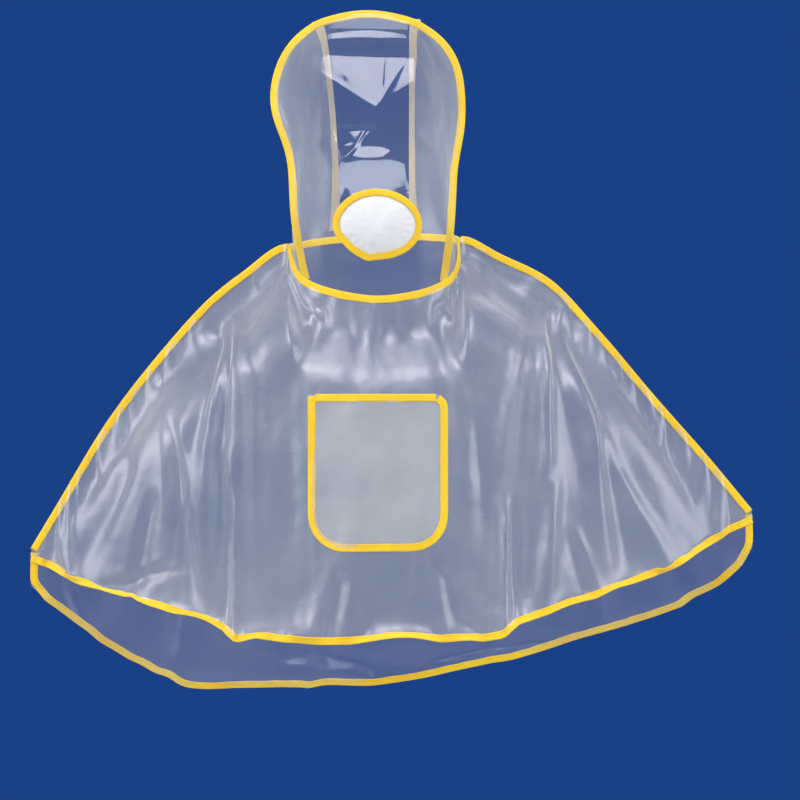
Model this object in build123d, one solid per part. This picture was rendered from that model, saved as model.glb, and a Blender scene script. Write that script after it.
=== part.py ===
from build123d import *
import math
import os
import numpy as np
from scipy.interpolate import CubicSpline, PchipInterpolator
from scipy.ndimage import gaussian_filter1d

# A hooded see-through salon cape with a clear face shield and a breathing patch, worn
# over the head and shoulders and held open at both sides as it is when it is being shown.
# Units are millimetres. X runs across the cape, -Y is the front, +Z is up.
# The origin is the middle of the neck ring, level with the shoulder seams beside the neck.

# ---- driving dimensions -----------------------------------------------------------------
FILM = 0.6              # film thickness; the real film is thinner, this one carries collision
CLOTH = 0.4             # one layer of the breathing patch
TAPE = 0.6              # thickness of the folded binding tape
TAPE_WIDTH = 10.0       # width of every binding tape
SLACK = 0.1             # gap between a film edge and the tape folded over it
EASE = 0.6              # extra room in the tapes that follow a strongly curved edge
SEAM_HALF_GAP = 0.6     # middle of the film to the seam plane where two films meet

FRONT_DEPTH = 145.0     # how far the front hangs ahead of the shoulder seams
BACK_DEPTH = 148.0      # how far the back hangs behind them
STRAIGHT = 19.0         # the films hang straight for this far below a seam
SHOULDER_ROUND = 60.0   # how quickly the film rounds over from the seam
NECK_HALF = 118.0       # half width of the neck ring
NECK_FRONT = 88.0       # neck ring, ahead of the shoulder seams
NECK_BACK = 70.0        # neck ring, behind them
CORNER_ROUND = 5.0      # rounding where the seams meet the ring, in 900ths of the edge
SEAM_START = 24.0       # the shoulder bindings start this far outside the ring

HOOD_GAP = 16.0         # height of the hood's lower edge above the neck ring, for the nod
SHIELD_BULGE = 45.0     # how far the shield bows forward
SEAM_TAPE_WIDTH = 12.0
LAP_LIFT = {"left": 1.2, "right": -1.6}     # the laps lie inside the hood, off its films

PATCH_CENTRE = (6.0, 11.0)
PATCH_HALF = (58.0, 45.0)
BREATHING_HOLE_HALF = (44.0, 31.0)
PATCH_CROWN = 5.0

POCKET_LEFT, POCKET_RIGHT = -84.0, 98.0
POCKET_TOP, POCKET_BOTTOM = -214.0, -418.0
POCKET_ROUND = 46.0

# ---- outlines: (x, z) seen from the front, or as named ----------------------------------
LEFT_SEAM = [(-474, -429), (-438, -369), (-366, -250), (-291, -153), (-222, -78), (-181, -46)]
RIGHT_SEAM = [(174, -21), (239, -53), (308, -124), (386, -216), (460, -300), (523, -376)]
FRONT_NECK = [(-118, -6), (-112, -27), (-104, -45), (-94, -57), (-67, -70), (-33, -79), (5, -84),
              (52, -78), (78, -70), (101, -57), (111, -45), (116, -27), (118, 5)]
BACK_NECK = [(-118, -6), (-60, 8), (0, 12), (60, 13), (118, 5)]
FRONT_HEM = [(-474, -443), (-383, -469), (-279, -494), (-205, -512), (-178, -526), (-69, -525),
             (29, -522), (133, -522), (170, -519), (198, -500), (286, -478), (388, -449),
             (476, -407), (523, -390)]
BACK_HEM = [(-474, -478), (-443, -504), (-393, -548), (-328, -595), (-266, -624), (-204, -634),
            (-153, -635), (36, -619), (212, -584), (308, -555), (407, -517), (477, -473),
            (512, -442), (523, -424)]

# The face opening from its lower corner on the neck ring up to the crown seam, (x, y, z).
OPENING_LEFT = [(-94, -57, -50), (-106, -66, 0), (-111, -69, 46), (-117, -70, 112), (-136, -70, 170),
                (-134, -70, 211), (-115, -70, 254), (-97, -70, 273), (-75, -70, 288)]
OPENING_RIGHT = [(104, -57, -48), (107, -66, 0), (110, -69, 46), (113, -70, 95), (121, -70, 140),
                 (122, -70, 190), (116, -70, 226), (95, -70, 262), (55, -70, 290)]
# The crown strip from the nape up over the head to the top of the face opening.
CROWN_LEFT = [(-50, 66, 12), (-52, 98, 80), (-56, 116, 160), (-62, 106, 235), (-67, 66, 282),
              (-71, 0, 297), (-75, -68, 288)]
CROWN_RIGHT = [(50, 66, 14), (47, 98, 80), (44, 116, 160), (45, 106, 235), (48, 66, 284),
               (52, 0, 300), (55, -68, 290)]
CROWN_RISE = [0, 0, 0, 0, 2, 8, 12]     # how much the strip arches between its two seams


# ---- curves -----------------------------------------------------------------------------
def height_over(points):
    """z as a smooth function of x through (x, z) points, with no overshoot."""
    x, z = zip(*points)
    return PchipInterpolator(x, z)


def along(points):
    """A space curve through points, run by its share of length from 0 to 1."""
    p = np.array(points, float)
    reach = np.concatenate([[0], np.cumsum(np.linalg.norm(np.diff(p, axis=0), axis=1))])
    return CubicSpline(reach / reach[-1], p)


front_top = height_over(LEFT_SEAM + FRONT_NECK + RIGHT_SEAM)
back_top = height_over(LEFT_SEAM + BACK_NECK + RIGHT_SEAM)
front_low = height_over(FRONT_HEM)
back_low = height_over(BACK_HEM)
LEFT_END, RIGHT_END = LEFT_SEAM[0][0], RIGHT_SEAM[-1][0]
opening_left, opening_right = along(OPENING_LEFT), along(OPENING_RIGHT)
crown_left, crown_right = along(CROWN_LEFT), along(CROWN_RIGHT)
crown_rise = PchipInterpolator(np.linspace(0, 1, len(CROWN_RISE)), CROWN_RISE)


def hem_depth(x, depth):
    """Distance of the hem from the seam plane: full at the body, nothing at the cuffs."""
    middle, half = (LEFT_END + RIGHT_END) / 2, (RIGHT_END - LEFT_END) / 2
    return SEAM_HALF_GAP + depth * (1 - abs((x - middle) / half) ** 1.9)


def ring_depth(x, depth):
    """Distance of the neck ring from the seam plane."""
    inside = 1 - min(1, abs(x) / NECK_HALF) ** 2
    return SEAM_HALF_GAP + depth * math.sqrt(inside)


def by_length(points, rounding=0.0):
    """A curve through close points, run by its share of length, its corners rounded."""
    p = np.array(points, float)
    if rounding:
        p = gaussian_filter1d(resampled(p, 900), rounding, axis=0, mode="nearest")
    return lambda u, p=resampled(p, 900): np.array(
        [np.interp(u, np.linspace(0, 1, len(p)), p[:, k]) for k in range(3)])


def resampled(p, count):
    """The same path through evenly spaced points."""
    reach = np.concatenate([[0], np.cumsum(np.linalg.norm(np.diff(p, axis=0), axis=1))])
    even = np.linspace(0, reach[-1], count)
    return np.stack([np.interp(even, reach, column) for column in p.T], 1)


def outline_xs():
    """Closely spaced x across the cape, closest where the neck ring turns."""
    turn = NECK_HALF * np.sin(np.radians(np.linspace(-90, 90, 240)))
    left, right = np.linspace(LEFT_END, -NECK_HALF, 300), np.linspace(NECK_HALF, RIGHT_END, 300)
    return np.concatenate([left[:-1], turn, right[1:]])


def top_curve(top, ring, side):
    """Seam, neck ring and seam again: the upper edge of a cape panel."""
    return by_length([[x, side * ring_depth(x, ring), top(x)] for x in outline_xs()], CORNER_ROUND)


def hem_curve(low, depth, side):
    xs = np.linspace(LEFT_END, RIGHT_END, 500)
    return by_length([[x, side * hem_depth(x, depth), low(x)] for x in xs])


front_edge, front_hem = top_curve(front_top, NECK_FRONT, -1), hem_curve(front_low, FRONT_DEPTH, -1)
back_edge, back_hem = top_curve(back_top, NECK_BACK, 1), hem_curve(back_low, BACK_DEPTH, 1)


def panel_point(u, v, edge, hem):
    """A point of a cape panel: v is 0 on the seam or neck ring and 1 on the hem."""
    start, end = edge(u), hem(u)
    p = (1 - v) * start + v * end
    below = max(0.0, v * math.dist(start[::2], end[::2]) - STRAIGHT) / SHOULDER_ROUND
    p[1] = start[1] + (end[1] - start[1]) * (1 - math.exp(-below ** 2))
    return p


def front_point(u, v):
    return panel_point(u, v, front_edge, front_hem)


def back_point(u, v):
    return panel_point(u, v, back_edge, back_hem)


def front_at(x, z):
    """The front panel's point at a place seen from the front, by bisection across it."""
    low, high = 0.0, 1.0
    for _ in range(30):
        u = (low + high) / 2
        top, base = front_edge(u)[2], front_hem(u)[2]
        p = front_point(u, (top - z) / (top - base))
        low, high = (u, high) if p[0] < x else (low, u)
    return p


def side_point(opening, crown, out, t, w):
    """A side panel of the hood: t rises from the neck, w runs from the opening to the crown."""
    start, end = opening(t), crown(t)
    swell = math.sin(math.pi * w)
    bow = swell * (10 + 34 * math.exp(-6 * t))
    p = (1 - w) * start + w * end + np.array([out * bow, 0, 10 * swell * math.exp(-9 * t)])
    return p + np.array([0, 0, HOOD_GAP * (1 - t) ** 6])


def crown_point(w, t):
    """The strip over the head: w runs from the left seam to the right one."""
    p = (1 - w) * crown_left(t) + w * crown_right(t)
    arch = math.sin(math.pi * w)
    behind = 6 * arch * (1 - t)
    return p + np.array([0, behind, float(crown_rise(t)) * arch + HOOD_GAP * (1 - t) ** 6])


def shield_point(u, v):
    """The face shield: u runs left to right, v rises from the neck ring to the crown."""
    left, right = opening_left(v), opening_right(v)
    p = (1 - u) * left + u * right
    swell = math.sin(math.pi * u)
    low = (1 - v) ** 8
    bow = SHIELD_BULGE * swell * (1 - v ** 3) * (1 - low) + 31 * swell * low
    sag = 34 * math.sin(math.pi * u) * low
    rise = 12 * swell * v ** 8
    return p + np.array([0, -bow, rise - sag + HOOD_GAP * low])


# ---- solids from surfaces and rails ------------------------------------------------------
def normal_at(surface, a, b, step=1e-3):
    """Unit normal of a surface given by two parameters."""
    da = surface(min(a + step, 1), b) - surface(max(a - step, 0), b)
    db = surface(a, min(b + step, 1)) - surface(a, max(b - step, 0))
    n = np.cross(da, db)
    return n / np.linalg.norm(n)


def film(surface, us, vs, thickness=FILM, tol=0.03):
    """A closed sheet of even thickness about a surface."""
    middle = np.array([[surface(u, v) for v in vs] for u in us])
    normals = np.array([[normal_at(surface, u, v) for v in vs] for u in us])
    skins = [middle + normals * half for half in (thickness / 2, -thickness / 2)]
    outer, inner = (
        Face.make_surface_from_array_of_points([[Vector(*p) for p in row] for row in skin], tol=tol)
        for skin in skins
    )
    sides = [Face.make_surface_from_curves(a, b) for a, b in zip(outer.edges(), inner.edges())]
    return Solid(Shell([outer, inner] + sides))


def beam(rails):
    """A solid whose long edges are the rails, in section order, with flat ends."""
    edges = [Edge.make_spline([Vector(*p) for p in rail]) for rail in rails]
    sides = [Face.make_surface_from_curves(a, b) for a, b in zip(edges, edges[1:] + edges[:1])]
    ends = [Face(Wire.make_polygon([Vector(*rail[k]) for rail in rails], close=True)) for k in (0, -1)]
    return Solid(Shell(sides + ends))


def frames(points, inward):
    """Inward and normal directions at each point of an edge, square to its tangent."""
    tangents = np.gradient(points, axis=0)
    tangents /= np.linalg.norm(tangents, axis=1)[:, None]
    inward = inward - (inward * tangents).sum(1)[:, None] * tangents
    inward /= np.linalg.norm(inward, axis=1)[:, None]
    return inward, np.cross(tangents, inward)


def binding(points, inward, wrapped=FILM):
    """Tape folded over an edge: a U section open towards the middle of the film."""
    points = np.array(points, float)
    inward, normals = frames(points, np.array(inward, float))
    slot = wrapped / 2 + SLACK
    shell, tip = slot + TAPE, SLACK + TAPE
    reach = TAPE_WIDTH - tip
    section = [(-tip, -shell), (reach, -shell), (reach, -slot), (-SLACK, -slot),
               (-SLACK, slot), (reach, slot), (reach, shell), (-tip, shell)]
    return beam([points + w * inward + n * normals for w, n in section])


def strip(points, inward, width, thickness, lift):
    """A flat tape lying beside an edge, off the film by lift."""
    points = np.array(points, float)
    inward, normals = frames(points, np.array(inward, float))
    low, high = lift, lift + thickness
    section = [(0.8, low), (width, low), (width, high), (0.8, high)]
    return beam([points + w * inward + n * normals for w, n in section])


def save(name, solid):
    export_step(solid, f"parts/{name}.step")


# ---- cape --------------------------------------------------------------------------------
def panel(point):
    return film(point, np.linspace(0, 1, 72), np.linspace(0, 1, 20) ** 1.4, tol=0.15)


def hem_edge(point, us):
    """Points along a panel's hem, with the way into the panel."""
    path = np.array([point(u, 1) for u in us])
    return path, np.array([point(u, 0.96) for u in us]) - path


def seam_edge(xs):
    path = np.array([[x, 0, float(front_top(x))] for x in xs])
    return path, np.tile([0.0, 0.0, -1.0], (len(xs), 1))


def neck_edge():
    """The neck ring from the nape round the front and back, with the way into the panels."""
    us = np.linspace(0, 1, 400)
    front, back = (np.array([[*point(u, 0), *point(u, 0.015)] for u in us
                             if abs(point(u, 0)[0]) < NECK_HALF - 2]) for point in (front_point, back_point))
    nape = len(back) // 2
    ring = resampled(np.concatenate([back[nape::-1], front, back[:nape:-1]]), 64)
    ring[-1][[0, 3]] += 0.8
    return ring[:, :3], ring[:, 3:] - ring[:, :3]


def pocket_outline(inset=0.0):
    """The pocket seen from the front: straight mouth and sides, rounded lower corners."""
    middle = ((POCKET_LEFT + POCKET_RIGHT) / 2, (POCKET_TOP + POCKET_BOTTOM) / 2)
    size = (POCKET_RIGHT - POCKET_LEFT - 2 * inset, POCKET_TOP - POCKET_BOTTOM - 2 * inset)
    outline = Plane.XZ * Pos(*middle) * Rectangle(*size)
    low = sorted(outline.vertices(), key=lambda v: v.Z)[:2]
    return fillet(low, POCKET_ROUND - inset)


def pocket_rim():
    """Points down the left side of the pocket, round the bottom and up the right side."""
    r = POCKET_ROUND
    left = [(POCKET_LEFT, z) for z in np.linspace(POCKET_TOP, POCKET_BOTTOM + r, 8)]
    right = [(POCKET_RIGHT, z) for z in np.linspace(POCKET_BOTTOM + r, POCKET_TOP, 8)]
    turn = np.radians(np.linspace(0, 90, 9)[1:-1])
    low_left = [(POCKET_LEFT + r - r * math.cos(a), POCKET_BOTTOM + r - r * math.sin(a)) for a in turn]
    low_right = [(POCKET_RIGHT - r + r * math.sin(a), POCKET_BOTTOM + r - r * math.cos(a)) for a in turn]
    base = [(x, POCKET_BOTTOM) for x in np.linspace(POCKET_LEFT + r, POCKET_RIGHT - r, 5)]
    return left + low_left + base + low_right + right


POCKET_LIFT = FILM / 2 + 0.9 + TAPE + SLACK + FILM / 2


def on_pocket(x, z):
    """A point on the middle of the pocket film."""
    return front_at(x, z) + np.array([0, -POCKET_LIFT, 0])


def cape_parts():
    seam_left = seam_edge(np.linspace(LEFT_END + 0.5, -NECK_HALF - SEAM_START, 22))
    seam_right = seam_edge(np.linspace(NECK_HALF + SEAM_START, RIGHT_END - 0.5, 22))
    front_rim = hem_edge(front_point, np.linspace(0.012, 0.988, 64))
    back_rim = hem_edge(back_point, np.linspace(0.001, 0.999, 50))
    both = 2 * SEAM_HALF_GAP + FILM + 2 * EASE

    save("front_panel", panel(front_point))
    save("back_panel", panel(back_point))
    save("left_shoulder_binding", binding(*seam_left, wrapped=both))
    save("right_shoulder_binding", binding(*seam_right, wrapped=both))
    save("front_hem_binding", binding(*front_rim, wrapped=FILM + 2 * EASE))
    save("back_hem_binding", binding(*back_rim))
    save("neck_binding", binding(*neck_edge(), wrapped=FILM + 4 * EASE))


def pocket_parts():
    across = np.linspace(0, 1, 13)

    def surface(u, v):
        x = POCKET_LEFT + u * (POCKET_RIGHT - POCKET_LEFT)
        return on_pocket(x, POCKET_TOP + v * (POCKET_BOTTOM - POCKET_TOP))

    sheet = film(surface, across, across)
    block = extrude(pocket_outline(SLACK), 400, both=True)
    mouth = [(x, POCKET_TOP) for x in np.linspace(POCKET_LEFT + TAPE_WIDTH, POCKET_RIGHT - TAPE_WIDTH, 9)]

    save("pocket_panel", sheet & block)
    save("pocket_edge_binding", binding(*on_pocket_edge(pocket_rim(), 1), wrapped=FILM + EASE))
    save("pocket_mouth_binding", binding(*on_pocket_edge(mouth, -1), wrapped=FILM + EASE))


def on_pocket_edge(rim, turn):
    """An edge of the pocket, with the way into the pocket square to it along the film."""
    rim = np.array(rim, float)
    tangents = np.gradient(rim, axis=0)
    tangents /= np.linalg.norm(tangents, axis=1)[:, None]
    inner = rim + turn * TAPE_WIDTH * np.stack([-tangents[:, 1], tangents[:, 0]], 1)
    path = np.array([on_pocket(x, z) for x, z in rim])
    return path, np.array([on_pocket(x, z) for x, z in inner]) - path


# ---- hood --------------------------------------------------------------------------------
def patch_point(angle, lift, share=1.0):
    """A point of the breathing patch at a share of the way to its rim, off the shield by lift."""
    x = PATCH_CENTRE[0] + share * PATCH_HALF[0] * math.cos(angle)
    z = PATCH_CENTRE[1] + share * PATCH_HALF[1] * math.sin(angle)
    return np.array([x, shield_front(x, z) - lift, z])


def shield_front(x, z):
    """y of the shield's middle at a place seen from the front, by bisection on its height."""
    low, high = 0.0, 1.0
    for _ in range(30):
        v = (low + high) / 2
        left, right = shield_point(0, v), shield_point(1, v)
        u = (x - left[0]) / (right[0] - left[0])
        p = shield_point(u, v)
        low, high = (v, high) if p[2] < z else (low, v)
    return float(p[1])


def oval(half, inset=0.0):
    sketch = Plane.XZ * Pos(*PATCH_CENTRE) * Ellipse(half[0] - inset, half[1] - inset)
    return extrude(sketch, 400, both=True)


def patch_layer(lift, crown):
    """One oval layer of the patch, crowned forward in its middle."""
    def surface(u, v):
        x = PATCH_CENTRE[0] + (2 * u - 1) * (PATCH_HALF[0] + 3)
        z = PATCH_CENTRE[1] + (2 * v - 1) * (PATCH_HALF[1] + 3)
        out = ((x - PATCH_CENTRE[0]) / PATCH_HALF[0]) ** 2 + ((z - PATCH_CENTRE[1]) / PATCH_HALF[1]) ** 2
        dome = crown * max(0.0, 1 - out / 0.68) ** 2
        return np.array([x, shield_front(x, z) - lift - dome, z])

    steps = np.linspace(0, 1, 15)
    return film(surface, steps, steps, CLOTH) & oval(PATCH_HALF, SLACK)


def hood_parts():
    rise, run = np.linspace(0, 1, 25), np.linspace(0.07, 0.985, 13)
    left_panel = film(lambda t, w: side_point(opening_left, crown_left, -1, t, w), rise, run)
    right_panel = film(lambda t, w: side_point(opening_right, crown_right, 1, t, w), rise, run)
    crown = film(crown_point, np.linspace(0.008, 0.992, 11), rise * 0.985)
    shield = film(shield_point, np.linspace(0, 1, 17), rise) - oval(BREATHING_HOLE_HALF)

    across = np.linspace(0, 1, 13)
    top = [shield_point(u, 1) for u in across[1:-1]]
    rim = [shield_point(0, v) for v in rise] + top + [shield_point(1, v) for v in rise[::-1]]
    rim = np.array(rim)

    cloth_lift = [FILM / 2 + EASE + TAPE + SLACK + CLOTH / 2 + k * (CLOTH + SLACK) for k in range(3)]
    stack = 3 * CLOTH + 2 * SLACK
    turn = np.radians(np.linspace(-90.4, -449.6, 61))
    ring = np.array([patch_point(a, cloth_lift[1]) for a in turn])
    within = np.array([patch_point(a, cloth_lift[1], 0.85) for a in turn])

    save("hood_left_panel", left_panel)
    save("hood_right_panel", right_panel)
    save("hood_crown_panel", crown)
    save("face_shield", shield)
    save("face_shield_binding", binding(rim, np.array([0, -75, 130]) - rim))
    save("patch_inner_layer", patch_layer(cloth_lift[0], 0))
    save("patch_filter_layer", patch_layer(cloth_lift[1], PATCH_CROWN / 2))
    save("patch_outer_layer", patch_layer(cloth_lift[2], PATCH_CROWN))
    save("patch_binding", binding(ring, within - ring, wrapped=stack + EASE))
    for side, opening, crown_edge, out in (
            ("left", opening_left, crown_left, -1), ("right", opening_right, crown_right, 1)):
        path = np.array([side_point(opening, crown_edge, out, t, 0.985) for t in rise[1:-1]])
        inner = np.array([side_point(opening, crown_edge, out, t, 0.9) for t in rise[1:-1]])
        save(f"hood_{side}_seam_tape", strip(path, inner - path, SEAM_TAPE_WIDTH, 0.4, LAP_LIFT[side]))


os.makedirs("parts", exist_ok=True)
cape_parts()
pocket_parts()
hood_parts()
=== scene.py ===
import math

import bmesh
import bpy
import numpy as np
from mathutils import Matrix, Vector


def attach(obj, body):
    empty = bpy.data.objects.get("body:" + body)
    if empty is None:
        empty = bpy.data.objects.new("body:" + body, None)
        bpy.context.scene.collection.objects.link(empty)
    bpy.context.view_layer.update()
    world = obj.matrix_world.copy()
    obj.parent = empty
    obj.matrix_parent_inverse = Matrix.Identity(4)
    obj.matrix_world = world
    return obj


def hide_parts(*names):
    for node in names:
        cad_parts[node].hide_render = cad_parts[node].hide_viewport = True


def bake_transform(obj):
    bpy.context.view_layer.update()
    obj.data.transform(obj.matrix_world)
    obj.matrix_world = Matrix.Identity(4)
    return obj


# Looks for the hooded see-through salon cape. Metres, in the CAD frame: -Y is the front, +Z up.
# The films are soft sheets hung on the CAD outlines, folded and draped here, then taped. Shapes are in
# millimetres until a mesh is made. Left and right are as seen from the front.
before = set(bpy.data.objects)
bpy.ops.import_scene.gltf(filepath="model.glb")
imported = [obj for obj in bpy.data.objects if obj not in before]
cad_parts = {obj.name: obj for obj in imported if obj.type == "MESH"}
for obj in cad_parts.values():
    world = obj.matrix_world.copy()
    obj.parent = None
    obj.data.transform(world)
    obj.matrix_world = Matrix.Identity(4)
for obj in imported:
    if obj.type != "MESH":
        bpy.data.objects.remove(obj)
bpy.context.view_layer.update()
RNG = np.random.default_rng(11)
MM = 0.001

# ---- the garment's outlines, in millimetres ----------------------------------------------
# As in the CAD source, except that CROWN_RIGHT lies up to 6 mm further out. A panel hangs straight for
# STRAIGHT below its seam, then swings out to its depth over about SHOULDER_ROUND.
FRONT_DEPTH, BACK_DEPTH, STRAIGHT, SHOULDER_ROUND = 145.0, 148.0, 19.0, 60.0
NECK_HALF, NECK_FRONT, NECK_BACK, SEAM_GAP = 118.0, 88.0, 70.0, 0.6
SHIELD_BULGE = 45.0
PATCH_CENTRE, PATCH_HALF, HOLE_HALF, PATCH_CROWN = (6.0, 11.0), (58.0, 45.0), (44.0, 31.0), 6.0
POCKET_X, POCKET_Z, POCKET_ROUND, POCKET_TOP_ROUND = (-84.0, 98.0), (-214.0, -418.0), 46.0, 12
LEFT_SEAM = [(-474, -429), (-438, -369), (-366, -250), (-291, -153), (-222, -78), (-181, -46)]
RIGHT_SEAM = [(174, -21), (239, -53), (308, -124), (386, -216), (460, -300), (523, -376)]
FRONT_NECK = [(-118, -6), (-112, -27), (-104, -45), (-94, -57), (-67, -70), (-33, -79), (5, -84),
              (52, -78), (78, -70), (101, -57), (111, -45), (116, -27), (118, 5)]
BACK_NECK = [(-118, -6), (-60, 8), (0, 12), (60, 13), (118, 5)]
FRONT_HEM = [(-474, -443), (-383, -469), (-279, -494), (-205, -512), (-178, -526), (-69, -525),
             (29, -522), (133, -522), (170, -519), (198, -500), (286, -478), (388, -449),
             (476, -407), (523, -390)]
BACK_HEM = [(-474, -478), (-443, -504), (-393, -548), (-328, -595), (-266, -624), (-204, -634),
            (-153, -635), (36, -619), (212, -584), (308, -555), (407, -517), (477, -473),
            (512, -442), (523, -424)]
OPENING_LEFT = [(-94, -57, -50), (-106, -66, 0), (-111, -69, 46), (-117, -70, 112), (-136, -70, 170),
                (-134, -70, 211), (-115, -70, 254), (-97, -70, 273), (-75, -70, 288)]
OPENING_RIGHT = [(104, -57, -48), (107, -66, 0), (110, -69, 46), (113, -70, 95), (121, -70, 140),
                 (122, -70, 190), (116, -70, 226), (95, -70, 262), (55, -70, 290)]
CROWN_LEFT = [(-50, 66, 12), (-52, 98, 80), (-56, 116, 160), (-62, 106, 235), (-67, 66, 282),
              (-71, 0, 297), (-75, -68, 288)]
CROWN_RIGHT = [(50, 66, 14), (50, 98, 80), (50, 116, 160), (50, 106, 235), (50, 66, 284),
               (51, 0, 300), (55, -68, 290)]
CROWN_RISE = [0, 0, 0, 0, 2, 8, 12]


# ---- curves ------------------------------------------------------------------------------
def height_over(points):
    """z over x through (x, z) points, monotone between them."""
    x, z = np.array(points, float).T
    h, d = np.diff(x), np.diff(z) / np.diff(x)
    m = np.concatenate([[d[0]], np.zeros(len(x) - 2), [d[-1]]])
    same = d[:-1] * d[1:] > 0
    a, b = (2 * h[1:] + h[:-1])[same], (h[1:] + 2 * h[:-1])[same]
    m[1:-1][same] = (a + b) / (a / d[:-1][same] + b / d[1:][same])

    def at(q):
        i = np.clip(np.searchsorted(x, q, side="right") - 1, 0, len(h) - 1)
        s = (q - x[i]) / h[i]
        return (z[i] * (1 + 2 * s) * (1 - s) ** 2 + z[i + 1] * s * s * (3 - 2 * s)
                + h[i] * (m[i] * s * (1 - s) ** 2 + m[i + 1] * s * s * (s - 1)))
    return at


def lengths(p):
    """How far along a path each of its points lies."""
    return np.concatenate([[0], np.cumsum(np.linalg.norm(np.diff(p, axis=0), axis=1))])


def along(points):
    """A natural cubic spline through points, run from 0 to 1 by its chord length."""
    p = np.array(points, float)
    p = p if p.ndim > 1 else p[:, None]
    reach = lengths(p)
    x = reach / reach[-1]
    h, n = np.diff(x), len(x)
    a, r = np.eye(n), np.zeros_like(p)
    for i in range(1, n - 1):
        a[i, i - 1:i + 2] = h[i - 1], 2 * (h[i - 1] + h[i]), h[i]
        r[i] = 6 * ((p[i + 1] - p[i]) / h[i] - (p[i] - p[i - 1]) / h[i - 1])
    m = np.linalg.solve(a, r)

    def at(t):
        t = np.atleast_1d(t)
        i = np.clip(np.searchsorted(x, t, side="right") - 1, 0, n - 2)
        s, w = (t - x[i])[:, None], h[i][:, None]
        q = w - s
        return ((m[i] * q ** 3 + m[i + 1] * s ** 3) / (6 * w)
                + (p[i] / w - m[i] * w / 6) * q + (p[i + 1] / w - m[i + 1] * w / 6) * s)
    return at


def resampled(p, count):
    """The path again with count even points."""
    reach = lengths(p)
    even = np.linspace(0, reach[-1], count)
    return np.stack([np.interp(even, reach, p[:, k]) for k in range(p.shape[1])], 1)


def spaced(p, step):
    """The path again with points about step apart."""
    length = np.linalg.norm(np.diff(p, axis=0), axis=1).sum()
    return resampled(p, max(3, int(round(length / step)) + 1))


def unit(v):
    return v / np.linalg.norm(v, axis=-1)[..., None]


def softened(p, reach):
    """The path with its corners rounded by a moving bell of that many points."""
    w = np.exp(-np.linspace(-3, 3, 6 * reach + 1) ** 2 / 2)
    pad = np.pad(p, ((3 * reach, 3 * reach), (0, 0)), mode="edge")
    return np.stack([np.convolve(pad[:, k], w / w.sum(), "valid") for k in range(3)], 1)


LEFT_END, RIGHT_END = LEFT_SEAM[0][0], RIGHT_SEAM[-1][0]
opening_left, opening_right = along(OPENING_LEFT), along(OPENING_RIGHT)
crown_left, crown_right = along(CROWN_LEFT), along(CROWN_RIGHT)
crown_rise = height_over(list(zip(np.linspace(0, 1, len(CROWN_RISE)), CROWN_RISE)))


def smooth(a, b, x):
    """0 below a, 1 above b, eased between them."""
    t = np.clip((x - a) / (b - a), 0, 1)
    return t * t * (3 - 2 * t)


def hem_depth(x, depth):
    """How far a panel's hem stands off the cape's middle plane."""
    middle, half = (LEFT_END + RIGHT_END) / 2, (RIGHT_END - LEFT_END) / 2
    return SEAM_GAP + depth * (1 - np.abs((x - middle) / half) ** 1.9)


def ring_depth(x, depth):
    """How far the neck ring stands off the cape's middle plane."""
    return SEAM_GAP + depth * np.sqrt(1 - np.minimum(1, np.abs(x) / NECK_HALF) ** 2)


def panel_edges(neck, hem, ring, depth, side):
    """The upper and lower edges of a cape panel as 900 even points each."""
    turn = NECK_HALF * np.sin(np.radians(np.linspace(-90, 90, 240)))
    xs = np.concatenate([np.linspace(LEFT_END, -NECK_HALF, 300)[:-1], turn,
                         np.linspace(NECK_HALF, RIGHT_END, 300)[1:]])
    top = np.stack([xs, side * ring_depth(xs, ring), height_over(LEFT_SEAM + neck + RIGHT_SEAM)(xs)], 1)
    xs = np.linspace(LEFT_END, RIGHT_END, 900)
    low = np.stack([xs, side * hem_depth(xs, depth), height_over(hem)(xs)], 1)
    return softened(resampled(top, 900), 5), resampled(low, 900)


def panel_grid(edges, columns, rows):
    """Points [column, row] of a hanging panel, row 0 on the seam and the last on the hem."""
    top, low = (resampled(e, columns)[:, None] for e in edges)
    v = np.linspace(0, 1, rows)[None, :, None]
    p = (1 - v) * top + v * low
    span = np.linalg.norm((low - top)[..., ::2], axis=-1)
    below = np.maximum(0, v[..., 0] * span - STRAIGHT) / SHOULDER_ROUND
    p[..., 1] = top[..., 1] + (low - top)[..., 1] * (1 - np.exp(-below ** 2))
    return p


def side_grid(opening, crown, out, ts, ws):
    """Points [up, around] of a hood side, from the face opening to the crown seam. Unlike in the CAD
    source, its bow dies out at the top."""
    t, w = ts[:, None, None], ws[None, :, None]
    swell = np.sin(math.pi * w)
    p = (1 - w) * opening(ts)[:, None] + w * crown(ts)[:, None]
    bow = swell * (10 + 34 * np.exp(-6 * t)) * (1 - t ** 5)
    return p + np.concatenate([out * bow, 0 * bow, 10 * swell * np.exp(-9 * t)], -1)


def crown_grid(ws, ts):
    """Points [across, up and over] of the hood's crown strip."""
    w, t = ws[:, None, None], ts[None, :, None]
    arch = np.sin(math.pi * w)
    p = (1 - w) * crown_left(ts)[None] + w * crown_right(ts)[None]
    return p + np.concatenate([0 * arch * t, 6 * arch * (1 - t), crown_rise(ts)[None, :, None] * arch], -1)


def shield_grid(us, vs):
    """Points [across, up] of the face shield, bowed forward."""
    u, v = us[:, None, None], vs[None, :, None]
    p = (1 - u) * opening_left(vs)[None] + u * opening_right(vs)[None]
    swell = np.sin(math.pi * u)
    low = (1 - v) ** 8
    bow = SHIELD_BULGE * swell * (1 - v ** 3) * (1 - low) + 31 * swell * low
    return p + np.concatenate([0 * bow, -bow, 12 * swell * v ** 8 - 34 * swell * low], -1)


# ---- soft shapes ---------------------------------------------------------------------------
WAVES = RNG.normal(size=(40, 3)), RNG.uniform(0, 2 * math.pi, 40)


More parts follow.
